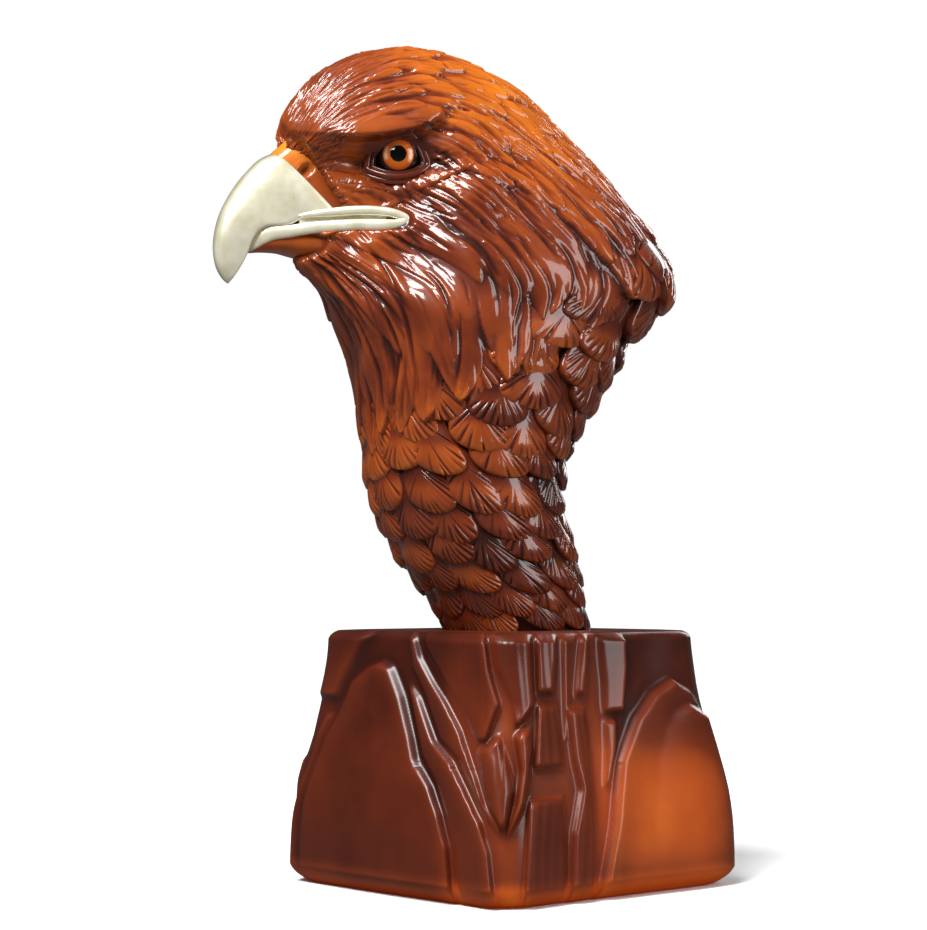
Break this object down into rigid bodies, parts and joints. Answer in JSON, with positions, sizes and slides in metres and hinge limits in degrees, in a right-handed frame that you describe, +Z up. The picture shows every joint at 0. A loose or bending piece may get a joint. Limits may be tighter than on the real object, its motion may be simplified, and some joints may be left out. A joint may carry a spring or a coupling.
{
  "type": "eagle head bust",
  "caption": "Glossy cast-resin eagle head and feathered neck with a gilded hooked beak and set-in glass eyes, fixed on a carved rock-shaped plinth.",
  "frame": {"origin": "middle of the plinth's underside", "axes": "+Z up, -Y out of the plinth's front face, +X to the bird's left; the head is turned about 20 degrees to the bird's right of -Y"},
  "size_m": [0.1477, 0.1994, 0.3563],
  "materials": {
    "amber_resin": "cast resin under a thick amber to mahogany gloss lacquer",
    "gilding": "pale gold metallic paint under gloss lacquer, on the beak",
    "rock_resin": "cast resin under dark red-brown lacquer, amber where it is thin",
    "eye_glass": "polished glass over an orange iris and a black pupil"
  },
  "bodies": {
    "root": {"eagle_bust": "amber_resin", "rock_plinth": "rock_resin", "eye_left": "eye_glass", "eye_right": "eye_glass"}
  },
  "joints": []
}
